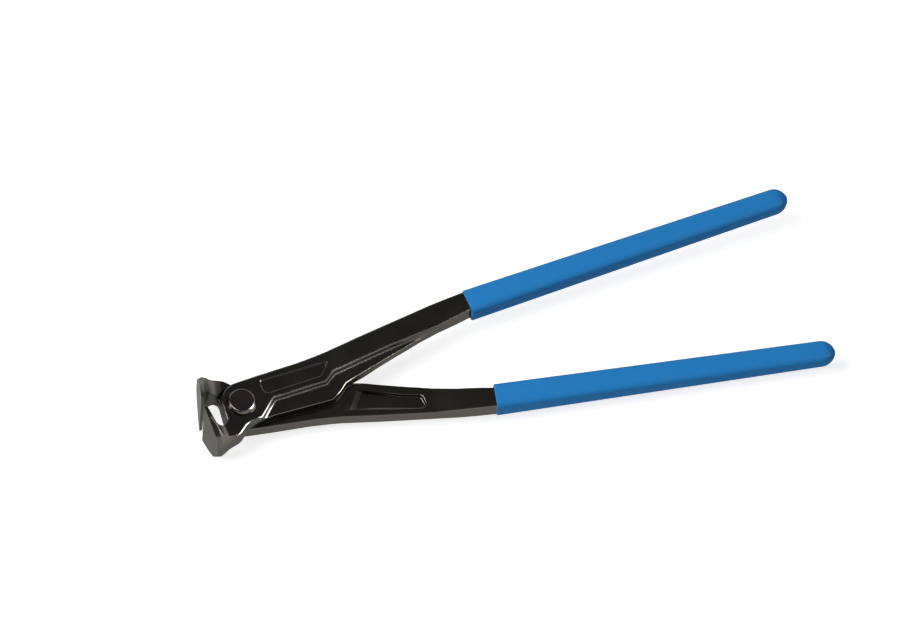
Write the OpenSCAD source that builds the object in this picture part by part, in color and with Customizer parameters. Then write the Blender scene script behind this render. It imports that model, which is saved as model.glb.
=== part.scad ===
// End cutting nippers: two forged levers that cross in a lap joint, a rivet and two dipped grips.
// The frame's origin is the centre of the rivet's lower face: +Z runs up the pivot, +X to the grips.
// Each lever is drawn once, closed, on its own lap plane, and turned to its opening at rest.

/* [Overall] */
// Pivot axis to the flat nose of the jaws
nose_reach = 16.3; // [15:0.1:17.5]
// Pivot axis to the rounded ends of the grips
grip_reach = 236.4; // [220:0.5:250]
// Pivot axis to the place where the grips begin
grip_start = 100; // [94:0.5:106]
// Angle between the two levers at rest
opening_angle = 14.2; // [8:0.1:30]

/* [Lap joint] */
// Thickness of each lever where it laps the other
lap_thickness = 6.2; // [5:0.1:8]
// Total play between the two lap faces
lap_play = 0.1; // [0.05:0.01:0.2]
// Radius of the round end of the lap
lap_end_radius = 8.4; // [8:0.1:8.8]
// Shift of that round end's centre from the pivot, along X and Y alike
lap_end_shift = 0.8; // [0.5:0.1:1]
// Half width of the lap on the inner side of the lever, at its widest
lap_inner_half = 11.2; // [10:0.1:12]
// Length of the lap from the pivot to the bend of the inner edge
lap_length = 34.5; // [31:0.5:38]
// Rounding of the forged edges on the outer face
face_edge = 0.8; // [0.4:0.1:1.1]
// Rounding of the forged edges on the lap face
lap_edge = 0.6; // [0.3:0.1:1]

/* [Jaws] */
// Length of the cutting edges
jaw_width = 28.4; // [26:0.2:32]
// Height of one jaw from its cutting edge to its back
jaw_depth = 14.5; // [13.8:0.1:16]
// Width of the ground bevel behind the cutting edge
edge_bevel = 1.3; // [0.8:0.1:1.6]
// Thickness of the jaw in front of the hollow behind the cutting edges
mouth_wall = 2.6; // [2:0.1:3.2]
// Radius of that hollow
hollow_radius = 2.8; // [2.5:0.1:3]
// Depth of the hollow below the cutting edge
hollow_depth = 6.9; // [6:0.1:7.5]
// Thickness of the jaw at its two sides
jaw_wall = 1.4; // [1:0.05:1.6]
// Draft angle of the jaw's wall behind its nose
jaw_draft = 17; // [12:1:20]
// Relief angle of the ground nose behind the cutting edge
nose_relief = 2.3; // [0:0.1:4]
// Radius of the fillet from the jaw down to the outer face
face_fillet = 5; // [4:0.1:5.4]
// Radius of the fillet from the jaw down to its lap side
lap_fillet = 6; // [5:0.1:7]
// Thickness of the shelf that this fillet leaves past the lap plane
lap_shelf = 2; // [1:0.1:3]
// Radius that the jaw leaves free about the pivot for the other lever
sweep_radius = 10.5; // [10.3:0.1:10.8]

/* [Rivet] */
// Diameter of the rivet's heads where they meet the levers
rivet_head_d = 12; // [10:0.1:12.5]
// Diameter of the flat on each head
rivet_face_d = 9.5; // [8:0.1:9.8]
// Height of each head
rivet_head_h = 2.1; // [1.5:0.1:3]
// Diameter of the shank
rivet_shank_d = 8; // [6:0.1:8.5]
// Radial running clearance of the lever that turns on the shank
rivet_play = 0.04; // [0.02:0.01:0.08]

/* [Handles] */
// Width of the handle at the start of the grip
tang_w = 8.5; // [7.5:0.1:9]
// Middle of the handle above the lever's axis at the start of the grip
tang_y = 8.5; // [8:0.1:9]
// How far the handle swells past the lap plane before the grip
tang_rise = 1.4; // [0.5:0.1:2]
// Depth of the step in the outer face
step_depth = 2.3; // [1:0.1:3]
// Width of the step's sloping wall
step_run = 2.4; // [1.4:0.1:2.6]
// Depth of the panel in the lap face
panel_depth = 1.5; // [0.6:0.1:2]
// Width of the panel's sloping walls
panel_run = 1.2; // [0.8:0.1:1.5]
// Length of the soft ramp at the panel's joint end
panel_ramp = 4.5; // [3:0.1:6]
// Depth of the bare name panel in the outer face
name_depth = 0.6; // [0.3:0.1:1]
// Width of that panel's sloping walls
name_run = 0.6; // [0.3:0.05:0.7]

/* [Grips] */
// Width of the grip where it begins
grip_w = 10.9; // [10.4:0.1:12]
// Thickness of the grip where it begins
grip_t = 9.6; // [9.2:0.1:10.6]
// Width of the grip near its end
grip_end_w = 9.2; // [8.8:0.1:10]
// Thickness of the grip near its end
grip_end_t = 8.2; // [8:0.1:9]
// Middle of the grip above the lever's axis where it begins
grip_y = 8.05; // [7.9:0.05:8.5]
// Middle of the grip above the lever's axis near its end
grip_end_y = 5.3; // [4.9:0.1:6]
// Rounding of the grip's long edges
grip_round = 2.4; // [1.5:0.1:2.8]
// Thickness of the dipped coat at the sides of the tang's tip
grip_wall = 1.5; // [1.2:0.1:2]
// Gap left between the tang and the dipped sleeve
grip_fit = 0.02; // [0.01:0.01:0.05]

/* [Hidden] */
round_fn = 96;
// One overrun serves every cut
over = 2;
// Small inset that keeps joined solids from sharing a face
hair = 0.02;
bevel_angle = 68;
steel = [0.17, 0.165, 0.16];
rivet_steel = [0.3, 0.29, 0.28];
blue = [0.12, 0.45, 0.7];

face_z = lap_thickness;
lap_z = lap_play / 2;
mid_z = lap_thickness + rivet_head_h;
mid_plate_z = face_z / 2;
// Steps of the arcs: forged edges, round end of the lap, jaw fillets, hollow, corners of grip and tang
edge_steps = 4;
lap_steps = 14;
fillet_steps = 12;
hollow_steps = 20;
grip_steps = 6;
tang_steps = 2;
jaw_half = jaw_width / 2;
handle_mid_z = (face_z - tang_rise) / 2;
handle_t = face_z + tang_rise;
tang_top = tang_y + tang_w / 2;
tang_low = tang_y - tang_w / 2;
lap_outer_half = lap_end_shift + lap_end_radius;
inner_run = grip_start - lap_length;
hollow_y = hollow_radius - hollow_depth;
// Pivot axis to the near side of the hollow
hollow_reach = nose_reach - mouth_wall - 2 * hollow_radius;
// Taper of the tang from the start of the grip to where it lies on the grip's own line
tang_in_share = 0.12;

// Outer edge over the lap: shares of the lap's length, and of the rise from the lap to the tang
lap_outer_shares = [[0.29, -0.056], [0.53, -0.155], [0.78, -0.254], [1, -0.231]];
// Handle past the lap: shares of its run to the grip, of the outer edge's rise and of the inner edge's
handle_shares = [
    [0.066, -0.183, 0.142], [0.116, -0.1, 0.31], [0.185, 0.017, 0.382], [0.282, 0.183, 0.466],
    [0.42, 0.38, 0.5825], [0.556, 0.563, 0.6925], [0.655, 0.704, 0.783], [0.771, 0.865, 0.88],
    [0.898, 0.963, 0.945], [1, 1, 1]
];
// Swell past the lap plane at the last points of the handle, in shares of its height
swell_shares = [-0.5, 0.15, 0.65, 1, 1];
// Line of the outer step: over the lap in shares of its length and inner half, then as the inner edge
step_lap_shares = [[0.995, -0.237], [0.357, -0.155], [0.121, -0.77], [0.045, -0.97]];
step_handle_shares = [[1, 1.01], [0.785, 0.945], [0.447, 0.884], [0.064, 0.742]];
// Bare name panel: shares of the lap length and of the lap's outer half
name_shares = [
    [0.278, 0.3], [0.293, 0.07], [0.343, -0.03], [0.968, -0.115], [0.992, -0.085], [1.118, 0.4],
    [1.11, 0.47], [1.07, 0.52], [0.33, 0.7], [0.295, 0.69], [0.285, 0.6]
];
// Panel in the lap face: shares of the run from the lap to the grip, and of the tang's top
panel_shares = [
    [0.052, 0.455], [0.13, -0.26], [0.434, 0.094], [0.556, 0.204], [0.576, 0.282], [0.588, 0.51],
    [0.579, 0.675], [0.547, 0.722]
];
// Inner edge where the jaw's back runs into the lap: shares of the lap's length and inner half
belly_shares = [[0.3, 0.8], [1, 1]];
// Back of the jaw from the nose to the lap: shares of the nose reach and of the jaw depth
back_shares = [
    [-1, 0.935], [-0.97, 0.955], [-0.87, 0.99], [-0.705, 0.945], [-0.58, 0.922], [-0.48, 0.915],
    [-0.405, 0.895], [-0.32, 0.86], [-0.215, 0.775], [-0.11, 0.69], [-0.01, 0.645], [0.12, 0.624],
    [0.28, 0.622]
];
// Side of the jaw at its nose, from its outer side to its lap side: shares of depth and half width
nose_shares = [
    [0, 1], [0.16, 0.955], [0.315, 0.89], [0.56, 0.735], [0.82, 0.565], [0.91, 0.4], [0.985, 0.26],
    [1, 0.08], [1, -0.1], [0.995, -0.225], [0.95, -0.41], [0.85, -0.58], [0.735, -0.775],
    [0.49, -0.9], [0.25, -0.965], [0, -1]
];
// The same side where the jaw runs into the lap
root_shares = [
    [0, 1], [0.2, 0.9], [0.4, 0.8], [0.6, 0.7], [0.78, 0.6], [0.9, 0.48], [0.955, 0.42],
    [1, 0.35], [1, -0.1], [0.98, -0.15], [0.9, -0.3], [0.75, -0.5], [0.56, -0.65],
    [0.324, -0.8], [0.16, -0.9], [0, -1]
];
// How far the side has changed from nose to root at each point of the back
root_blend_shares = [0, 0, 0.05, 0.3, 0.7, 1, 1, 1, 1, 1];
// Where the rounded edge of the lap runs out in the hollow: shares of the hollow's radius
foot_shares = [0.2, 0.58];
// How much of the nose's relief each point of the back has
relief_shares = [1, 0.9, 0.5, 0, 0, 0, 0, 0, 0, 0];
// Bend of the jaw's inner wall between its bevel and the hollow: shares along X and along Y
bend_shares = [0.55, 0.75];
// Rolled lip of the grip: shares of its width, and of its inset on each side
lip_shares = [[0, 1], [0.3, 0.3], [1, 0]];
// Length of the grip's rounded end in shares of its width
cap_share = 0.56;
// Tip of the grip: shares of its end radius for the width and for the rounding
tip_shares = [0.25, 0.1];
// Rounding of the grip's lip, in shares of its long edges' rounding
lip_share = 0.25;
// Rim of each rivet head, in shares of its height
rim_share = 0.125;
// Sloping walls: shares of the run and of the depth, from the floor up
slope_shares = [
    [0, 0], [0.126, 0.02], [0.243, 0.073], [0.34, 0.158], [0.415, 0.276],
    [0.585, 0.724], [0.66, 0.842], [0.757, 0.927], [0.874, 0.98], [1, 1]
];

function mix(a, b, t) = a + (b - a) * t;
function unit(v) = v / norm(v);
function left_of(v) = [-v[1], v[0]];
function flipped(v) = [for (i = [len(v) - 1 : -1 : 0]) v[i]];
function at_height(pts, z) = [for (p = pts) [p[0], p[1], z]];
function arc(c, r, a0, a1, n) = [for (i = [0 : n]) let (a = mix(a0, a1, i / n)) c + r * [cos(a), sin(a)]];

// Outline moved outwards by d; the points run anticlockwise
function grown(pts, d) = [
    for (i = [0 : len(pts) - 1])
        let (a = pts[(i + len(pts) - 1) % len(pts)], b = pts[i], c = pts[(i + 1) % len(pts)])
        let (m = left_of(unit(b - a)), n = left_of(unit(c - b)))
        b - (m + n) * d / (1 + m * n)
];

// Rounded rectangle across X, with its middle at y and z
function rounded_section(x, y, z, w, t, r, n) = [
    for (q = [0 : 3])
        let (cy = (w / 2 - r) * (q == 0 || q == 3 ? 1 : -1), cz = (t / 2 - r) * (q < 2 ? 1 : -1))
        for (i = [0 : n])
            let (a = 90 * (q + i / n))
            [x, y + cy + r * cos(a), z + cz + r * sin(a)]
];

// Edges of the lever, closed, in its own frame
outer_edge = concat(
    [for (s = lap_outer_shares) [s[0] * lap_length, mix(lap_outer_half, tang_top, s[1])]],
    [for (s = handle_shares) [lap_length + s[0] * inner_run, mix(lap_outer_half, tang_top, s[1])]]
);
inner_edge = [for (s = handle_shares) [lap_length + s[0] * inner_run, mix(-lap_inner_half, tang_low, s[2])]];
back_edge = [for (s = back_shares) [s[0] * nose_reach, -s[1] * jaw_depth]];
root_from = 5;
root_y = (hollow_depth + jaw_depth) / 2;
lever_outline = concat(
    [for (i = [root_from : len(back_edge) - 1]) back_edge[i]],
    [for (s = belly_shares) [s[0] * lap_length, -s[1] * lap_inner_half]],
    inner_edge,
    flipped(outer_edge),
    arc([lap_end_shift, lap_end_shift], lap_end_radius, 90, 180, lap_steps),
    [
        [hair - hollow_reach, hollow_y],
        [-hollow_reach - foot_shares[0] * hollow_radius, hollow_y - foot_shares[1] * hollow_radius],
        [-hollow_reach - hollow_radius, hollow_y],
        [-hollow_reach - hollow_radius, -root_y],
        [back_edge[root_from][0], -root_y]
    ]
);

// Twice the area of a flat triangle, above zero when it runs anticlockwise
function turn(a, b, c) = (b[0] - a[0]) * (c[1] - a[1]) - (b[1] - a[1]) * (c[0] - a[0]);
function covers(a, b, c, p) = turn(a, b, p) > 0 && turn(b, c, p) > 0 && turn(c, a, p) > 0;

// Triangles that fill an anticlockwise outline, cut off corner by corner, the shortest cut first
function fill(pts, left) = len(left) == 3 ? [left] :
    let (n = len(left))
    let (
        cuts = [
            for (i = [0 : n - 1])
                let (a = pts[left[(i + n - 1) % n]], b = pts[left[i]], c = pts[left[(i + 1) % n]])
                let (inside = [for (k = left) if (covers(a, b, c, pts[k])) k])
                if (turn(a, b, c) > 0 && inside == []) [norm(c - a), i]
        ]
    )
    let (shortest = min([for (c = cuts) c[0]]))
    let (at = [for (c = cuts) if (c[0] == shortest) c[1]][0])
    concat(
        [[left[(at + n - 1) % n], left[at], left[(at + 1) % n]]],
        fill(pts, [for (i = [0 : n - 1]) if (i != at) left[i]])
    );

// Side faces between rings of n points
function side_faces(n, last) = [
    for (k = [0 : last - 1]) for (i = [0 : n - 1])
        let (j = (i + 1) % n)
        [k * n + i, k * n + n + i, k * n + n + j, k * n + j]
];

// Closed skin through rings of equal count with rounded, convex ends
module skin(rings) {
    n = len(rings[0]);
    last = len(rings) - 1;
    points = [for (r = rings) for (p = r) p];
    ends = [[for (i = [0 : n - 1]) i], [for (i = [n - 1 : -1 : 0]) last * n + i]];
    polyhedron(points, concat(ends, side_faces(n, last)));
}

// The same through level rings of any outline, from the lowest up
module stack(rings) {
    n = len(rings[0]);
    last = len(rings) - 1;
    points = [for (r = rings) for (p = r) p];
    count = [for (i = [0 : n - 1]) i];
    floor_faces = fill(rings[0], count);
    roof_faces = [for (t = fill(rings[last], count)) [for (i = [2 : -1 : 0]) last * n + t[i]]];
    polyhedron(points, concat(floor_faces, roof_faces, side_faces(n, last)));
}

// Plate between two heights with both rims rounded in facets
module forged_plate(pts, z0, r0, z1, r1) {
    turns = [for (i = [0 : edge_steps]) 90 * i / edge_steps];
    stack(concat(
        [for (a = turns) at_height(grown(pts, -r0 * (1 - sin(a))), z0 + r0 * (1 - cos(a)))],
        [for (a = turns) at_height(grown(pts, -r1 * (1 - cos(a))), z1 - r1 * (1 - sin(a)))]
    ));
}

// Cutter for a sunk field with sloping walls, open towards side (1 up, -1 down)
module sunk_field(pts, z, depth, run, side, ramp, ramp_points) {
    rings = [
        for (s = slope_shares) [
            for (i = [0 : len(pts) - 1])
                let (p = grown(pts, -run * (1 - s[0]))[i])
                let (slide = search(i, ramp_points) == [] ? 0 : ramp * (1 - s[0]))
                [p[0] + slide, p[1], z - side * depth * (1 - s[1])]
        ]
    ];
    mouth = at_height(pts, z + side * over);
    stack(side > 0 ? concat(rings, [mouth]) : concat([mouth], flipped(rings)));
}

// Step along the inner half of the outer face
module step_cut() {
    handle = [
        for (s = step_handle_shares)
            [lap_length + s[0] * inner_run + hair, mix(-lap_inner_half, tang_low, s[1])]
    ];
    lap = [for (s = step_lap_shares) [s[0] * lap_length, s[1] * lap_inner_half]];
    low = -lap_inner_half - over - step_run;
    sunk_field(
        concat(handle, lap, [[lap[3][0], low], [handle[0][0], low]]),
        face_z, step_depth, step_run, 1, 0, []
    );
}

// Bare sunk panel where a maker would put a name
module name_cut() {
    pts = [for (s = name_shares) [s[0] * lap_length, s[1] * lap_outer_half]];
    sunk_field(pts, face_z, name_depth, name_run, 1, 0, []);
}

// Panel in the lap face that lightens the handle
module panel_cut() {
    pts = [for (s = panel_shares) [lap_length + s[0] * inner_run, s[1] * tang_top]];
    sunk_field(pts, lap_z, panel_depth, panel_run, -1, panel_ramp, [0, 1]);
}

// Swell of the handle past the lap plane, towards the grip
module tang_swell() {
    first = len(handle_shares) - len(swell_shares);
    past_lap = len(lap_outer_shares);
    skin([
        for (k = [0 : len(swell_shares) - 1])
            let (x = inner_edge[first + k][0] - (swell_shares[k] == 1 ? hair : 0))
            let (y0 = inner_edge[first + k][1], y1 = outer_edge[past_lap + first + k][1])
            let (z = -swell_shares[k] * tang_rise, w = y1 - y0 - 2 * hair, t = mid_plate_z - z)
            rounded_section(x, (y0 + y1) / 2, z + t / 2, w, t, lap_edge, tang_steps)
    ]);
}

// Tang inside the grip, drawn with some extra all round for the cavity that holds it
module tang(extra) {
    grow = 2 * extra;
    tip_x = grip_reach - grip_end_w * cap_share - grip_wall;
    tip_w = grip_end_w - 2 * grip_wall;
    tip_t = grip_end_t - 2 * grip_wall;
    start_w = tang_w - 2 * hair;
    start_t = handle_t - 2 * hair;
    in_w = mix(tang_w, tip_w, tang_in_share);
    in_t = mix(handle_t, tip_t, tang_in_share);
    mid = handle_mid_z;
    r = face_edge;
    n = tang_steps;
    skin([
        rounded_section(grip_start - over, tang_y, mid, start_w + grow, start_t + grow, r, n),
        rounded_section(grip_start + tang_w / 2, grip_y, mid, in_w + grow, in_t + grow, r, n),
        rounded_section(tip_x + extra, grip_end_y, mid, tip_w + grow, tip_t + grow, r, n)
    ]);
}

// Broad jaw with its ramps, before the hollow and the cutting edge are cut
module jaw_block() {
    difference() {
        skin([
            for (k = [0 : len(root_blend_shares) - 1])
                let (x = back_edge[k][0], d = back_edge[k][1] + hair, f = root_blend_shares[k])
                let (lean = -relief_shares[k] * tan(nose_relief))
                [
                    for (i = [0 : len(nose_shares) - 1])
                        let (side = mix(nose_shares[i], root_shares[i], f))
                        [x + lean * side[0] * d, side[0] * d, side[1] * jaw_half]
                ]
        ]);
        side_fillet(face_fillet, face_z - hair, 1);
        side_fillet(lap_fillet, lap_shelf, -1);
        translate([0, 0, -jaw_half - over])
            cylinder(r = sweep_radius, h = jaw_width + 2 * over, $fn = round_fn);
    }
}

// Cutter for the drafted wall and the hollow fillet behind the nose, on the side given by its sign
module side_fillet(r, foot_z, side) {
    top_x = jaw_wall - nose_reach;
    mid = [
        top_x + (jaw_half - foot_z - r * (1 - sin(jaw_draft))) * tan(jaw_draft) + r * cos(jaw_draft),
        foot_z + r
    ];
    mirror([0, 0, side > 0 ? 0 : 1])
        translate([0, over, 0])
            rotate([90, 0, 0])
                linear_extrude(jaw_depth + 2 * over)
                    polygon(concat(
                        [[top_x - over * tan(jaw_draft), jaw_half + over]],
                        arc(mid, r, 180 + jaw_draft, 270, fillet_steps),
                        [[over, foot_z], [over, jaw_half + over]]
                    ));
}

// Cutter for the ground bevel, the inner wall of the jaw and the hollow
module hollow_cut() {
    mid = [-hollow_reach - hollow_radius, hollow_y];
    bevel = [edge_bevel * sin(bevel_angle) - nose_reach, -edge_bevel * cos(bevel_angle)];
    bend = [
        mix(bevel[0], mid[0] - hollow_radius, bend_shares[0]),
        mix(bevel[1], hollow_y, bend_shares[1])
    ];
    translate([0, 0, -jaw_half - over])
        linear_extrude(jaw_width + 2 * over)
            polygon(concat(
                [[-hollow_reach, over], [-nose_reach - over, over]],
                [[-nose_reach - over, 0], [-nose_reach, 0], bevel, bend],
                arc(mid, hollow_radius, 180, 360, hollow_steps)
            ));
}

// One lever, closed, with its lap plane at zero
module lever(bore_d) {
    color(steel)
        difference() {
            union() {
                forged_plate(lever_outline, lap_z, lap_edge, face_z, face_edge);
                tang_swell();
                tang(0);
                jaw_block();
            }
            hollow_cut();
            step_cut();
            name_cut();
            panel_cut();
            translate([0, 0, -over])
                cylinder(d = bore_d, h = face_z + 2 * over, $fn = round_fn);
        }
}

// Puts a closed lever's pieces at rest, in front or turned over behind
module at_rest(front) {
    translate([0, 0, mid_z])
        rotate([front ? 0 : 180, 0, 0])
            rotate([0, 0, opening_angle / 2])
                children();
}

module front_lever() {
    at_rest(true) lever(rivet_shank_d);
}

module rear_lever() {
    at_rest(false) lever(rivet_shank_d + 2 * rivet_play);
}

// Rivet with a conical head formed at each end
module rivet() {
    cone_r = rivet_head_d / 2;
    face_r = rivet_face_d / 2;
    shank_r = rivet_shank_d / 2;
    rim = rivet_head_h * rim_share;
    low_z = -face_z - lap_z;
    color(rivet_steel)
        translate([0, 0, mid_z])
            rotate_extrude($fn = round_fn)
                polygon([
                    [0, -mid_z], [face_r, -mid_z], [cone_r, low_z - rim], [cone_r, low_z],
                    [shank_r, low_z], [shank_r, face_z], [cone_r, face_z], [cone_r, face_z + rim],
                    [face_r, face_z + rivet_head_h], [0, face_z + rivet_head_h]
                ]);
}

// Dipped sleeve with a rolled lip, a straight taper and a rounded end
module grip() {
    cap_r = grip_end_w * cap_share;
    cap_x = grip_reach - cap_r;
    lip = grip_round * lip_share;
    mid = handle_mid_z;
    n = grip_steps;
    color(blue)
        difference() {
            skin(concat(
                [
                    for (s = lip_shares)
                        let (x = grip_start + s[0] * lip, inset = s[1] * lip)
                        let (w = grip_w - 2 * inset, t = grip_t - 2 * inset)
                        rounded_section(x, grip_y, mid, w, t, grip_round - inset, n)
                ],
                [
                    for (k = [0 : n - 1])
                        let (a = 90 * k / n)
                        let (w = grip_end_w * cos(a), t = grip_end_t * cos(a))
                        let (r = mix(grip_round, grip_end_t / 2 - hair, sin(a)) * cos(a))
                        rounded_section(cap_x + cap_r * sin(a), grip_end_y, mid, w, t, r, n)
                ],
                [
                    let (w = cap_r * tip_shares[0])
                    rounded_section(grip_reach, grip_end_y, mid, w, w, cap_r * tip_shares[1], n)
                ]
            ));
            tang(grip_fit);
        }
}

module front_grip() {
    at_rest(true) grip();
}

module rear_grip() {
    at_rest(false) grip();
}

front_lever();
rear_lever();
rivet();
front_grip();
rear_grip();
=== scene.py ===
import math

import bpy
from mathutils import Matrix, Vector


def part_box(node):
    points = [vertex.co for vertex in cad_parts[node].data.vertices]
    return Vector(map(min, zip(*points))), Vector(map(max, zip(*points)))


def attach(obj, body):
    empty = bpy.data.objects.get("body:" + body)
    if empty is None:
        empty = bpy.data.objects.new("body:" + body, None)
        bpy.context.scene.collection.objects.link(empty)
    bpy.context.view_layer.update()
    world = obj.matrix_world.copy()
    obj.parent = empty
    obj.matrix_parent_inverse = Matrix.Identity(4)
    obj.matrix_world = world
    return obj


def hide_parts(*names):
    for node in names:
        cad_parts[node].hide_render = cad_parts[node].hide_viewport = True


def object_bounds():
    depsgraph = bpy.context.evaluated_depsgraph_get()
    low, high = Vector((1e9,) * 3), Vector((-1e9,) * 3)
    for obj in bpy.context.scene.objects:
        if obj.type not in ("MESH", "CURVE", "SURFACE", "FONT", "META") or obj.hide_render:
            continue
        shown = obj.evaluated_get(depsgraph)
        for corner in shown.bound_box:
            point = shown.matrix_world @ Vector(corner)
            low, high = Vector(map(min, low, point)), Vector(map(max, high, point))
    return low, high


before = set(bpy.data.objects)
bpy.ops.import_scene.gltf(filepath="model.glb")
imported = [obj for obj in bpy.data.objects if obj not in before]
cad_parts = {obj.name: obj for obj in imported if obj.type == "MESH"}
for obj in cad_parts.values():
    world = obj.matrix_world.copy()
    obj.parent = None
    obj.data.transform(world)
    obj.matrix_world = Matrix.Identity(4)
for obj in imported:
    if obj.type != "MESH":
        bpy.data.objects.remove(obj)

bl_info = {
    "name": "End Cutting Nippers",
    "version": (1, 0, 0),
    "blender": (4, 5, 0),
    "location": "View3D > Sidebar > Nippers",
    "description": "Dresses the packed nippers with forged steel, a peened rivet and dipped grips",
    "category": "Object",
}

CAD_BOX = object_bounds()
MM = 0.001

# The levers lie at half the opening angle on either side of the X axis
PIVOT_HEIGHT = 8.3 * MM
HALF_OPENING = math.radians(7.1)

# The photograph's view: right, up and towards the camera, in the part's frame
VIEW_RIGHT = Vector((0.9604, -0.2763, 0.0374))
VIEW_UP = Vector((0.2272, 0.854, 0.468))
VIEW_BACK = VIEW_RIGHT.cross(VIEW_UP)
SENSOR_WIDTH = 36.0
NEAR_VIEW = 1.0
FAR_VIEW = 60.0

# Finishes of a closed lever, by how far ahead of the pivot axis each begins and how its faces turn
NOSE_FROM = 15.5 * MM
NOSE_FACING = 0.995
SIDE_FROM = 14.8 * MM
SIDE_FACING = 0.4
BEVEL_FROM = 13.4 * MM
BEVEL_DEPTH = 2.5 * MM
BEVEL_FACING = 0.3
BLAST_MARGIN = 2 * MM
WALL_FROM = 5 * MM
LAP_FACING = 0.8
OILED, BLASTED, GROUND = range(3)

# Steps of the roundings, sides of the turned rivet, and corners flat enough to be one face
EDGE_STEPS = 2
RIM_STEPS = 4
RIVET_SIDES = 96
FLAT_ANGLE = math.radians(0.4)

# How strongly broad faces keep flat shading next to small ones
FLAT_WEIGHT = 50

# A noise texture's values lie mostly between these two
NOISE_LOW = 0.3
NOISE_HIGH = 0.7

# Steel: broad unevenness in grains, its change of roughness, the pits' depth and the tint at a low angle
BROAD_GRAINS = 22
STEEL_SMOOTHER = 0.04
STEEL_ROUGHER = 0.05
PIT_DEPTH = 0.004 * MM
LOW_ANGLE_TINT = "BCBCBC"
FORGED_PITTING = 0.35
GROUND_PITTING = 0.2
RIVET_PITTING = 0.3
RIVET_ROUGHER = 0.03

# Vinyl: width and depth of the dip's flow marks, their strength, and the skin's change of roughness
FLOW_WIDTH = 9 * MM
FLOW_DEPTH = 0.15 * MM
FLOW_STRENGTH = 0.25
VINYL_UNEVEN = 0.03
VINYL_IOR = 1.53
VINYL_SHINE = 0.025

# Floor and sky: the floor's colour and side, the heights between which the sky dims, and its strengths
FLOOR_COLOUR = "CBCBCB"
FLOOR_ROUGHNESS = 0.9
FLOOR_SIDE = 12.0
SKY_LOW = 0.1
LIGHT_HIGH = 0.8
LIGHT_RANGE = (0.25, 0.11)
SHINE_HIGH = 0.6
SHINE_RANGE = (1.0, 0.09)
WHITE = (1, 1, 1, 1)

# Soft lamps that face the middle of the tool: name, direction from there, distance, width and height
# in metres, watts, and whether it lights surfaces or, like a bright card, shows in reflections alone
LAMP_AIM = Vector((70 * MM, 0, PIVOT_HEIGHT))
LAMPS = (
    ("key_overhead", (-0.7, 0.05, 1.0), 1.6, 1.1, 1.1, 26.0, True),
    ("right_card", (0.83, -0.41, 0.46), 1.5, 0.85, 1.2, 72.0, False),
    ("right_back_card", (0.8, 0.56, 0.3), 1.5, 0.5, 0.6, 2.0, False),
    ("left_card", (-0.85, 0.44, 0.19), 1.5, 0.9, 0.45, 14.0, False),
    ("front_card", (0.15, -0.9, 0.46), 1.4, 1.2, 1.0, 1.8, False),
    ("back_card", (0.2, 1.0, 0.42), 1.4, 1.6, 0.9, 4.0, False),
)


# Settings that a user would change


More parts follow.
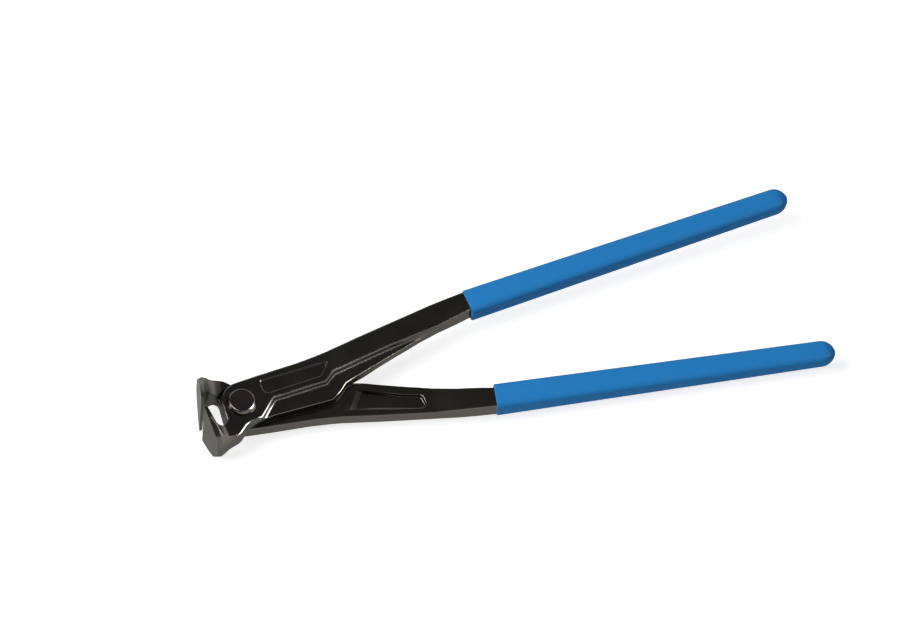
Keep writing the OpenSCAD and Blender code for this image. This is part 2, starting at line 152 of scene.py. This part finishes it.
class NIPPERS_PG_steel(bpy.types.PropertyGroup):
    merge_gap: bpy.props.FloatProperty(
        name="Merge gap", description="Corners closer than this are one corner",
        default=0.002 * MM, unit="LENGTH",
    )
    edge_round: bpy.props.FloatProperty(
        name="Edge rounding", description="Rounding of the crisp edges that finishing leaves",
        default=0.14 * MM, unit="LENGTH",
    )
    step_floor: bpy.props.FloatProperty(
        name="Step floor", description="Height of the outer step's floor above the lap plane",
        default=3.9 * MM, unit="LENGTH",
    )
    ramp_outer: bpy.props.FloatVectorProperty(
        name="Ramp, outer corner", description="Where the lap panel's ramp begins at its outer side",
        default=(37.9 * MM, 5.8 * MM, 0.06 * MM), subtype="TRANSLATION", unit="LENGTH",
    )
    ramp_inner: bpy.props.FloatVectorProperty(
        name="Ramp, inner corner", description="Where the lap panel's ramp begins at its inner side",
        default=(43.0 * MM, -3.3 * MM, 0.06 * MM), subtype="TRANSLATION", unit="LENGTH",
    )
    ramp_length: bpy.props.FloatProperty(
        name="Ramp length", description="How far along the lever the ramp's corners may lie",
        default=8 * MM, unit="LENGTH",
    )
    ramp_width: bpy.props.FloatProperty(
        name="Ramp width", description="How far across the lever the ramp's corners may lie",
        default=3 * MM, unit="LENGTH",
    )
    ramp_depth: bpy.props.FloatProperty(
        name="Ramp depth", description="Depth of the lap panel, with a little to spare",
        default=1.6 * MM, unit="LENGTH",
    )
    ramp_stretch: bpy.props.FloatProperty(
        name="Ramp stretch", description="How much longer the softened ramp is", default=1.8, min=1,
    )
    rim_round: bpy.props.FloatProperty(
        name="Rim rounding", description="Rounding of the forged rim of that step",
        default=0.5 * MM, unit="LENGTH",
    )
    rim_angle: bpy.props.FloatProperty(
        name="Rim angle", description="The step's rim is rounded where it is sharper than this",
        default=math.radians(62), subtype="ANGLE",
    )
    edge_angle: bpy.props.FloatProperty(
        name="Edge angle", description="Edges sharper than this are rounded",
        default=math.radians(48), subtype="ANGLE",
    )
    smooth_angle: bpy.props.FloatProperty(
        name="Smooth angle", description="Faces that meet flatter than this are shaded as one",
        default=math.radians(50), subtype="ANGLE",
    )
    jaw_angle: bpy.props.FloatProperty(
        name="Jaw angle", description="Faces of the jaws that meet sharper than this keep a crisp edge",
        default=math.radians(21), subtype="ANGLE",
    )
    jaw_reach: bpy.props.FloatProperty(
        name="Jaw reach", description="Pivot axis to where the jaws' crisp edges begin",
        default=12.5 * MM, unit="LENGTH",
    )
    black_colour: bpy.props.StringProperty(
        name="Black finish", description="Colour of the oiled black finish, sRGB hex",
        default="595650",
    )
    ground_colour: bpy.props.StringProperty(
        name="Ground steel", description="Colour of the ground noses, sRGB hex",
        default="605E59",
    )
    rivet_colour: bpy.props.StringProperty(
        name="Rivet steel", description="Colour of the rivet, sRGB hex",
        default="5F5956",
    )
    rivet_head: bpy.props.FloatProperty(
        name="Rivet head", description="Diameter of the rivet's heads", default=12.0 * MM, unit="LENGTH",
    )
    rivet_face: bpy.props.FloatProperty(
        name="Rivet face", description="Diameter of the flat on each head", default=9.5 * MM, unit="LENGTH",
    )
    rivet_shank: bpy.props.FloatProperty(
        name="Rivet shank", description="Diameter of the shank", default=8.0 * MM, unit="LENGTH",
    )
    rivet_head_height: bpy.props.FloatProperty(
        name="Rivet head height", description="Height of each head", default=2.1 * MM, unit="LENGTH",
    )
    rivet_rim: bpy.props.FloatProperty(
        name="Rivet rim", description="Upright rim below each head's cone", default=0.26 * MM, unit="LENGTH",
    )
    rivet_bulge: bpy.props.FloatProperty(
        name="Rivet bulge", description="Share of the cone's run and rise where its two slopes meet",
        default=0.6, min=0.5, max=0.8, subtype="FACTOR",
    )
    rivet_round: bpy.props.FloatProperty(
        name="Rivet rounding", description="Rounding of the heads' edges", default=0.22 * MM, unit="LENGTH",
    )
    rivet_angle: bpy.props.FloatProperty(
        name="Rivet angle", description="Edges of the rivet sharper than this are rounded",
        default=math.radians(30), subtype="ANGLE",
    )
    lap_gap: bpy.props.FloatProperty(
        name="Lap gap", description="Half the play between the laps", default=0.05 * MM, unit="LENGTH",
    )
    roughness: bpy.props.FloatProperty(
        name="Roughness", description="Roughness of the black finish",
        default=0.19, min=0, max=1, subtype="FACTOR",
    )
    jaw_roughness: bpy.props.FloatProperty(
        name="Jaw roughness", description="Roughness of the blasted jaws and their ground noses",
        default=0.4, min=0, max=1, subtype="FACTOR",
    )
    grain: bpy.props.FloatProperty(
        name="Grain", description="Size of the fine pitting that forging scale leaves",
        default=0.55 * MM, unit="LENGTH",
    )


class NIPPERS_PG_grip(bpy.types.PropertyGroup):
    colour: bpy.props.StringProperty(
        name="Grip colour", description="Colour of the dipped vinyl, sRGB hex",
        default="2A84CA",
    )
    roughness: bpy.props.FloatProperty(
        name="Roughness", description="Roughness of the vinyl's skin",
        default=0.42, min=0, max=1, subtype="FACTOR",
    )
    smooth_angle: bpy.props.FloatProperty(
        name="Smooth angle", description="Faces that meet flatter than this are shaded as one",
        default=math.radians(40), subtype="ANGLE",
    )
    edge_round: bpy.props.FloatProperty(
        name="Edge rounding", description="Rounding of the sleeve's lip", default=0.1 * MM, unit="LENGTH",
    )
    edge_angle: bpy.props.FloatProperty(
        name="Edge angle", description="Edges of the sleeve sharper than this are rounded",
        default=math.radians(50), subtype="ANGLE",
    )


class NIPPERS_PG_stage(bpy.types.PropertyGroup):
    camera_distance: bpy.props.FloatProperty(
        name="Camera distance", description="Camera to the point that it looks at",
        default=12.0, unit="LENGTH",
    )
    frame_width: bpy.props.FloatProperty(
        name="Frame width", description="Width of what the camera sees at that point",
        default=354.3 * MM, unit="LENGTH",
    )
    aim_right: bpy.props.FloatProperty(
        name="Aim right", description="Where the camera looks, right of the pivot in its own view",
        default=82.2 * MM, unit="LENGTH",
    )
    aim_up: bpy.props.FloatProperty(
        name="Aim up", description="Where the camera looks, above the pivot in its own view",
        default=35.0 * MM, unit="LENGTH",
    )
    floor_gap: bpy.props.FloatProperty(
        name="Floor gap", description="How far the floor lies below the lowest point of the jaws",
        default=0.3 * MM, unit="LENGTH",
    )
    floor_glow: bpy.props.FloatProperty(
        name="Floor glow", description="White that the floor shows the camera besides its own light",
        default=0.77, min=0, max=1,
    )
    floor_shine: bpy.props.FloatProperty(
        name="Floor shine", description="White that the floor gives to reflections besides its own light",
        default=0.62, min=0, max=1,
    )


# Small helpers


def linear(hex_colour):
    """sRGB hex to the linear colour that a shader takes."""
    channels = [int(hex_colour[i:i + 2], 16) / 255 for i in (0, 2, 4)]
    return tuple(c / 12.92 if c <= 0.04045 else ((c + 0.055) / 1.055) ** 2.4 for c in channels) + (1.0,)


def only(piece):
    """Selects one object alone and makes it active."""
    bpy.ops.object.select_all(action="DESELECT")
    piece.select_set(True)
    bpy.context.view_layer.objects.active = piece


def add_node(tree, kind, settings=None, inputs=None, links=None):
    """Adds a shader node with its settings, input values and links from other nodes' outputs."""
    node = tree.nodes.new(kind)
    for key, value in (settings or {}).items():
        setattr(node, key, value)
    for key, value in (inputs or {}).items():
        node.inputs[key].default_value = value
    for key, socket in (links or {}).items():
        tree.links.new(socket, node.inputs[key])
    return node


def new_material(name):
    """An empty material with its node tree and its output."""
    material = bpy.data.materials.new(name)
    material.use_nodes = True
    material.node_tree.nodes.clear()
    return material, material.node_tree, add_node(material.node_tree, "ShaderNodeOutputMaterial")


def finish_piece(piece, body, slot, *nodes):
    """Hands a finished piece to the frame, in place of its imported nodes."""
    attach(piece, body)
    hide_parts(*nodes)


# Materials


def steel_material(name, hex_colour, roughness, grain, pitting):
    """Tool steel: a dark mirror blurred by its finish, with fine pits and a broad unevenness."""
    material, tree, output = new_material(name)
    place = add_node(tree, "ShaderNodeTexCoord")
    # Real scale pits are finer, and are drawn at the size that just shows in the picture
    fine = add_node(
        tree, "ShaderNodeTexNoise", inputs={"Scale": 1 / grain, "Detail": 3.0},
        links={"Vector": place.outputs["Object"]},
    )
    broad = add_node(
        tree, "ShaderNodeTexNoise", inputs={"Scale": 1 / (BROAD_GRAINS * grain), "Detail": 4.0},
        links={"Vector": place.outputs["Object"]},
    )
    rough = add_node(
        tree, "ShaderNodeMapRange",
        inputs={
            "From Min": NOISE_LOW, "From Max": NOISE_HIGH,
            "To Min": roughness - STEEL_SMOOTHER, "To Max": roughness + STEEL_ROUGHER,
        },
        links={"Value": broad.outputs["Fac"]},
    )
    bump = add_node(
        tree, "ShaderNodeBump", inputs={"Strength": pitting, "Distance": PIT_DEPTH},
        links={"Height": fine.outputs["Fac"]},
    )
    shader = add_node(
        tree, "ShaderNodeBsdfPrincipled",
        inputs={"Base Color": linear(hex_colour), "Metallic": 1.0, "Specular Tint": linear(LOW_ANGLE_TINT)},
        links={"Roughness": rough.outputs["Result"], "Normal": bump.outputs["Normal"]},
    )
    tree.links.new(shader.outputs["BSDF"], output.inputs["Surface"])
    return material


def vinyl_material(settings):
    """Dipped vinyl: an even, nearly matt blue skin with faint, broad marks where the dip ran down."""
    material, tree, output = new_material("dipped_vinyl_blue")
    place = add_node(tree, "ShaderNodeTexCoord")
    flow = add_node(
        tree, "ShaderNodeTexNoise", inputs={"Scale": 1 / FLOW_WIDTH, "Detail": 2.0},
        links={"Vector": place.outputs["Object"]},
    )
    rough = add_node(
        tree, "ShaderNodeMapRange",
        inputs={
            "From Min": NOISE_LOW, "From Max": NOISE_HIGH,
            "To Min": settings.roughness - VINYL_UNEVEN, "To Max": settings.roughness + VINYL_UNEVEN,
        },
        links={"Value": flow.outputs["Fac"]},
    )
    bump = add_node(
        tree, "ShaderNodeBump", inputs={"Strength": FLOW_STRENGTH, "Distance": FLOW_DEPTH},
        links={"Height": flow.outputs["Fac"]},
    )
    shader = add_node(
        tree, "ShaderNodeBsdfPrincipled",
        inputs={
            "Base Color": linear(settings.colour), "IOR": VINYL_IOR, "Specular IOR Level": VINYL_SHINE,
        },
        links={"Roughness": rough.outputs["Result"], "Normal": bump.outputs["Normal"]},
    )
    tree.links.new(shader.outputs["BSDF"], output.inputs["Surface"])
    return material


# Shapes


def merged_copy(node, name, gap):
    """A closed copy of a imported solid, with its flat faces whole again."""
    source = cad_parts[node]
    only(source)
    bpy.ops.object.duplicate()
    piece = bpy.context.active_object
    piece.name = name
    piece.data.name = name
    for key in [k for k in piece.keys() if k.startswith("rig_")]:
        del piece[key]
    bpy.ops.object.mode_set(mode="EDIT")
    bpy.ops.mesh.select_all(action="SELECT")
    bpy.ops.mesh.remove_doubles(threshold=gap)
    bpy.ops.mesh.dissolve_limited(angle_limit=FLAT_ANGLE)
    bpy.ops.mesh.normals_make_consistent(inside=False)
    bpy.ops.object.mode_set(mode="OBJECT")
    bpy.ops.mesh.customdata_custom_splitnormals_clear()
    return piece


def pick_edges(piece, wanted):
    """Selects the edges whose middle, and angle between their two faces, pass a test."""
    bpy.ops.object.mode_set(mode="EDIT")
    bpy.ops.mesh.select_mode(type="EDGE")
    bpy.ops.mesh.select_all(action="DESELECT")
    bpy.ops.object.mode_set(mode="OBJECT")
    mesh = piece.data
    faces_of = {}
    for face in mesh.polygons:
        for key in face.edge_keys:
            faces_of.setdefault(key, []).append(face.normal)
    for edge in mesh.edges:
        normals = faces_of.get(tuple(sorted(edge.vertices)), [])
        middle = (mesh.vertices[edge.vertices[0]].co + mesh.vertices[edge.vertices[1]].co) / 2
        edge.select = len(normals) == 2 and wanted(middle, normals[0].angle(normals[1], 0))


def round_edges(piece, width, segments, method, angle=0.0, clamp=True):
    """Applies a rounding to the edges above an angle, or to those that carry a bevel weight."""
    bevel = piece.modifiers.new("edge_round", "BEVEL")
    bevel.width = width
    bevel.segments = segments
    bevel.limit_method = method
    bevel.angle_limit = angle
    bevel.use_clamp_overlap = clamp
    bpy.ops.object.modifier_apply(modifier=bevel.name)


def shade(piece, smooth_angle, crisp=None):
    """Shades the piece smooth with its flat faces kept flat; crisp picks edges that stay sharp."""
    bpy.ops.object.shade_smooth_by_angle(angle=smooth_angle)
    if crisp:
        pick_edges(piece, crisp)
        bpy.ops.object.mode_set(mode="EDIT")
        bpy.ops.mesh.mark_sharp()
        bpy.ops.object.mode_set(mode="OBJECT")
    weight = piece.modifiers.new("flat_faces", "WEIGHTED_NORMAL")
    weight.keep_sharp = True
    weight.weight = FLAT_WEIGHT
    bpy.ops.object.modifier_apply(modifier=weight.name)


def grow_ring(radius_from, radius_to, rise):
    """Extrudes the selected end of a turned piece by the rise and brings it to another radius."""
    bpy.ops.mesh.extrude_region_move(TRANSFORM_OT_translate={"value": (0, 0, rise)})
    share = radius_to / radius_from
    bpy.ops.transform.resize(value=(share, share, 1), center_override=(0, 0, 0))


def turned_rivet(name, settings):
    """A rivet built up from its lower face: head, shank and head, with soft peened edges."""
    low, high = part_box("rivet")
    face, head, shank = settings.rivet_face / 2, settings.rivet_head / 2, settings.rivet_shank / 2
    cone = settings.rivet_head_height - settings.rivet_rim
    waist = face + (head - face) * settings.rivet_bulge
    waist_rise = cone * settings.rivet_bulge
    bpy.ops.object.select_all(action="DESELECT")
    bpy.ops.mesh.primitive_circle_add(
        vertices=RIVET_SIDES, radius=face, fill_type="NGON", location=(0, 0, low.z)
    )
    piece = bpy.context.active_object
    piece.name = name
    piece.data.name = name
    bpy.ops.object.transform_apply(location=True, rotation=True, scale=True)
    bpy.ops.object.mode_set(mode="EDIT")
    bpy.ops.mesh.select_all(action="SELECT")
    length = high.z - low.z - 2 * settings.rivet_head_height
    grow_ring(face, waist, cone - waist_rise)
    grow_ring(waist, head, waist_rise)
    grow_ring(head, head, settings.rivet_rim - settings.lap_gap)
    grow_ring(head, shank, 0)
    grow_ring(shank, shank, length + settings.lap_gap)
    grow_ring(shank, head, 0)
    grow_ring(head, head, settings.rivet_rim)
    grow_ring(head, waist, waist_rise)
    grow_ring(waist, face, cone - waist_rise)
    bpy.ops.mesh.select_all(action="SELECT")
    bpy.ops.mesh.normals_make_consistent(inside=False)
    bpy.ops.object.mode_set(mode="OBJECT")
    round_edges(piece, settings.rivet_round, EDGE_STEPS, "ANGLE", settings.rivet_angle)
    shade(piece, settings.smooth_angle)
    return piece


def lever_turn(front):
    """From a closed lever on its own lap plane to its place at rest."""
    over = Matrix.Identity(4) if front else Matrix.Rotation(math.pi, 4, "X")
    return Matrix.Translation((0, 0, PIVOT_HEIGHT)) @ over @ Matrix.Rotation(HALF_OPENING, 4, "Z")


def stretch_ramp(piece, settings):
    """Draws the soft ramp at the joint end of the lap panel out over its floor."""
    for corner in (settings.ramp_outer, settings.ramp_inner):
        corner = Vector(corner)
        bpy.ops.object.mode_set(mode="EDIT")
        bpy.ops.mesh.select_mode(type="VERT")
        bpy.ops.mesh.select_all(action="DESELECT")
        bpy.ops.object.mode_set(mode="OBJECT")
        for vertex in piece.data.vertices:
            along, across, deep = vertex.co - corner
            near = 0 < along < settings.ramp_length and abs(across) < settings.ramp_width
            vertex.select = near and 0 < deep < settings.ramp_depth
        bpy.ops.object.mode_set(mode="EDIT")
        bpy.ops.transform.resize(value=(settings.ramp_stretch, 1, 1), center_override=corner)
        bpy.ops.object.mode_set(mode="OBJECT")


def jaw_finish(face, settings):
    """Which finish a face of a closed lever has: ground nose, blasted jaw or oiled black."""
    ahead = -face.center.x
    if ahead > NOSE_FROM and -face.normal.x > NOSE_FACING:
        return GROUND
    bevel = ahead > BEVEL_FROM and face.center.y > -BEVEL_DEPTH and face.normal.y > BEVEL_FACING
    side = ahead > SIDE_FROM and abs(face.normal.z) > SIDE_FACING
    wall = ahead > WALL_FROM and face.normal.z < LAP_FACING
    jaw = ahead > settings.jaw_reach - BLAST_MARGIN
    return BLASTED if (jaw or wall) and not bevel and not side else OILED


def round_step_rim(piece, settings):
    """Rounds the rim of the outer step's floor as the forging die leaves it."""
    pick_edges(
        piece,
        lambda middle, angle: abs(middle.z - settings.step_floor) < settings.edge_round
        and middle.x > 0 and angle > settings.rim_angle,
    )
    bpy.ops.object.mode_set(mode="EDIT")
    bpy.ops.transform.edge_bevelweight(value=1)
    bpy.ops.object.mode_set(mode="OBJECT")
    round_edges(piece, settings.rim_round, RIM_STEPS, "WEIGHT", clamp=False)


# Stage


def add_floor(settings):
    """A pale floor that glows a little for the camera and for reflections, and keeps the shadow."""
    bpy.ops.object.select_all(action="DESELECT")
    bpy.ops.mesh.primitive_plane_add(size=FLOOR_SIDE, location=(0, 0, CAD_BOX[0][2] - settings.floor_gap))
    floor = bpy.context.active_object
    floor.name = "floor"
    material, tree, output = new_material("pale_studio_floor")
    path = add_node(tree, "ShaderNodeLightPath")
    seen = add_node(
        tree, "ShaderNodeMath", {"operation": "MULTIPLY"}, {1: settings.floor_glow},
        {0: path.outputs["Is Camera Ray"]},
    )
    mirrored = add_node(
        tree, "ShaderNodeMath", {"operation": "MULTIPLY"}, {1: settings.floor_shine},
        {0: path.outputs["Is Glossy Ray"]},
    )
    glow = add_node(
        tree, "ShaderNodeMath", {"operation": "MAXIMUM"},
        links={0: seen.outputs["Value"], 1: mirrored.outputs["Value"]},
    )
    shader = add_node(
        tree, "ShaderNodeBsdfPrincipled",
        inputs={
            "Base Color": linear(FLOOR_COLOUR), "Roughness": FLOOR_ROUGHNESS, "Specular IOR Level": 0.0,
            "Emission Color": WHITE,
        },
        links={"Emission Strength": glow.outputs["Value"]},
    )
    tree.links.new(shader.outputs["BSDF"], output.inputs["Surface"])
    floor.data.materials.append(material)


def add_sky():
    """White to the camera; for light and reflections pale near the horizon and dim overhead."""
    world = bpy.data.worlds.new("studio_sky")
    bpy.context.scene.world = world
    world.use_nodes = True
    tree = world.node_tree
    tree.nodes.clear()
    place = add_node(tree, "ShaderNodeTexCoord")
    split = add_node(tree, "ShaderNodeSeparateXYZ", links={"Vector": place.outputs["Generated"]})
    lit = add_node(
        tree, "ShaderNodeMapRange", {"interpolation_type": "SMOOTHSTEP"},
        {"From Min": SKY_LOW, "From Max": LIGHT_HIGH, "To Min": LIGHT_RANGE[0], "To Max": LIGHT_RANGE[1]},
        {"Value": split.outputs["Z"]},
    )
    pale = add_node(
        tree, "ShaderNodeMapRange", {"interpolation_type": "SMOOTHSTEP"},
        {"From Min": SKY_LOW, "From Max": SHINE_HIGH, "To Min": SHINE_RANGE[0], "To Max": SHINE_RANGE[1]},
        {"Value": split.outputs["Z"]},
    )
    path = add_node(tree, "ShaderNodeLightPath")
    mirrored = add_node(
        tree, "ShaderNodeMath", {"operation": "MULTIPLY"},
        links={0: pale.outputs["Result"], 1: path.outputs["Is Glossy Ray"]},
    )
    soft = add_node(
        tree, "ShaderNodeMath", {"operation": "MAXIMUM"},
        links={0: lit.outputs["Result"], 1: mirrored.outputs["Value"]},
    )
    strength = add_node(
        tree, "ShaderNodeMath", {"operation": "MAXIMUM"},
        links={0: soft.outputs["Value"], 1: path.outputs["Is Camera Ray"]},
    )
    sky = add_node(
        tree, "ShaderNodeBackground", inputs={"Color": WHITE}, links={"Strength": strength.outputs["Value"]}
    )
    output = add_node(tree, "ShaderNodeOutputWorld")
    tree.links.new(sky.outputs["Background"], output.inputs["Surface"])


def add_lamps():
    """Large area lamps around the stage."""
    for name, direction, distance, width, height, watts, lights in LAMPS:
        place = LAMP_AIM + Vector(direction).normalized() * distance
        bpy.ops.object.select_all(action="DESELECT")
        bpy.ops.object.light_add(type="AREA", location=place)
        lamp = bpy.context.active_object
        lamp.name = name
        lamp.rotation_euler = (place - LAMP_AIM).to_track_quat("Z", "Y").to_euler()
        lamp.data.shape = "RECTANGLE"
        lamp.data.size = width
        lamp.data.size_y = height
        lamp.data.energy = watts
        lamp.visible_diffuse = lights


def add_camera(settings):
    """A long lens at the photograph's viewing angle."""
    aim = Vector((0, 0, PIVOT_HEIGHT)) + VIEW_RIGHT * settings.aim_right + VIEW_UP * settings.aim_up
    bpy.ops.object.select_all(action="DESELECT")
    bpy.ops.object.camera_add(location=aim + VIEW_BACK * settings.camera_distance)
    camera = bpy.context.active_object
    camera.name = "camera"
    camera.rotation_euler = Matrix((VIEW_RIGHT, VIEW_UP, VIEW_BACK)).transposed().to_euler()
    camera.data.sensor_width = SENSOR_WIDTH
    camera.data.lens = SENSOR_WIDTH * settings.camera_distance / settings.frame_width
    camera.data.clip_start = NEAR_VIEW
    camera.data.clip_end = FAR_VIEW
    bpy.context.scene.camera = camera


# Operators, one for each kind of piece and one for the stage


class NIPPERS_OT_levers(bpy.types.Operator):
    """Dresses both forged levers, with blasted jaws and ground noses"""

    bl_idname = "nippers.levers"
    bl_label = "Forged levers"

    def execute(self, context):
        settings = context.scene.nippers_steel
        # Oiled forging scale: near black on the flats, with a sharp bright line on every turned edge
        oiled = steel_material(
            "forged_tool_steel_oiled_black", settings.black_colour, settings.roughness, settings.grain,
            FORGED_PITTING,
        )
        # Blasted scale: the same black, but light spreads over it as a soft grey
        blasted = steel_material(
            "blasted_tool_steel_black", settings.black_colour, settings.jaw_roughness, settings.grain,
            FORGED_PITTING,
        )
        # Ground bare steel: an even, slightly lighter grey with finer pits
        ground = steel_material(
            "ground_tool_steel", settings.ground_colour, settings.jaw_roughness, settings.grain,
            GROUND_PITTING,
        )
        for node, body, front in (("front_lever", "front_half", True), ("rear_lever", "rear_half", False)):
            piece = merged_copy(node, node + "_forging", settings.merge_gap)
            # The work is done on the closed lever, with its lap plane at zero
            at_rest = lever_turn(front)
            piece.data.transform(at_rest.inverted())
            stretch_ramp(piece, settings)
            round_step_rim(piece, settings)
            round_edges(piece, settings.edge_round, EDGE_STEPS, "ANGLE", settings.edge_angle)
            shade(
                piece, settings.smooth_angle,
                lambda middle, angle: middle.x < -settings.jaw_reach and angle > settings.jaw_angle,
            )
            piece.data.materials.clear()
            for finish in (oiled, blasted, ground):
                piece.data.materials.append(finish)
            for face in piece.data.polygons:
                face.material_index = jaw_finish(face, settings)
            piece.data.transform(at_rest)
            finish_piece(piece, body, "forged_steel", node)
        return {"FINISHED"}


class NIPPERS_OT_rivet(bpy.types.Operator):
    """Dresses the peened rivet"""

    bl_idname = "nippers.rivet"
    bl_label = "Rivet"

    def execute(self, context):
        settings = context.scene.nippers_steel
        piece = turned_rivet("rivet_peened", settings)
        # Turned and peened steel: a little browner and softer than the levers, with a lit ring on its cone
        peened = steel_material(
            "rivet_steel_turned", settings.rivet_colour, settings.roughness + RIVET_ROUGHER, settings.grain,
            RIVET_PITTING,
        )
        piece.data.materials.clear()
        piece.data.materials.append(peened)
        finish_piece(piece, "front_half", "rivet_steel", "rivet")
        return {"FINISHED"}


class NIPPERS_OT_grips(bpy.types.Operator):
    """Dresses both dipped grips"""

    bl_idname = "nippers.grips"
    bl_label = "Dipped grips"

    def execute(self, context):
        settings = context.scene.nippers_grip
        vinyl = vinyl_material(settings)
        for node, body in (("front_grip", "front_half"), ("rear_grip", "rear_half")):
            piece = merged_copy(node, node + "_sleeve", context.scene.nippers_steel.merge_gap)
            round_edges(piece, settings.edge_round, EDGE_STEPS, "ANGLE", settings.edge_angle)
            shade(piece, settings.smooth_angle)
            piece.data.materials.clear()
            piece.data.materials.append(vinyl)
            finish_piece(piece, body, "dipped_vinyl", node)
        return {"FINISHED"}


class NIPPERS_OT_stage(bpy.types.Operator):
    """Sets the pale floor, the soft lamps, the sky and the camera"""

    bl_idname = "nippers.stage"
    bl_label = "Stage and camera"

    def execute(self, context):
        settings = context.scene.nippers_stage
        add_floor(settings)
        add_sky()
        add_lamps()
        add_camera(settings)
        context.scene.view_settings.view_transform = "Standard"
        return {"FINISHED"}


class NIPPERS_PT_panel(bpy.types.Panel):
    """Lists the steps that dress the nippers"""

    bl_idname = "NIPPERS_PT_panel"
    bl_label = "End Cutting Nippers"
    bl_space_type = "VIEW_3D"
    bl_region_type = "UI"
    bl_category = "Nippers"

    def draw(self, context):
        for operator in OPERATORS:
            self.layout.operator(operator.bl_idname)
        for name in ("nippers_steel", "nippers_grip", "nippers_stage"):
            group = getattr(context.scene, name)
            box = self.layout.box()
            for key in group.__annotations__:
                box.prop(group, key)


GROUPS = {
    "nippers_steel": NIPPERS_PG_steel,
    "nippers_grip": NIPPERS_PG_grip,
    "nippers_stage": NIPPERS_PG_stage,
}
OPERATORS = (NIPPERS_OT_levers, NIPPERS_OT_rivet, NIPPERS_OT_grips, NIPPERS_OT_stage)


def register():
    for kind in (*GROUPS.values(), *OPERATORS, NIPPERS_PT_panel):
        bpy.utils.register_class(kind)
    for name, kind in GROUPS.items():
        setattr(bpy.types.Scene, name, bpy.props.PointerProperty(type=kind))


def unregister():
    for name in GROUPS:
        delattr(bpy.types.Scene, name)
    for kind in reversed((*GROUPS.values(), *OPERATORS, NIPPERS_PT_panel)):
        bpy.utils.unregister_class(kind)


def main():
    register()
    for operator in OPERATORS:
        group, call = operator.bl_idname.split(".")
        getattr(getattr(bpy.ops, group), call)()


if __name__ == "__main__":
    main()
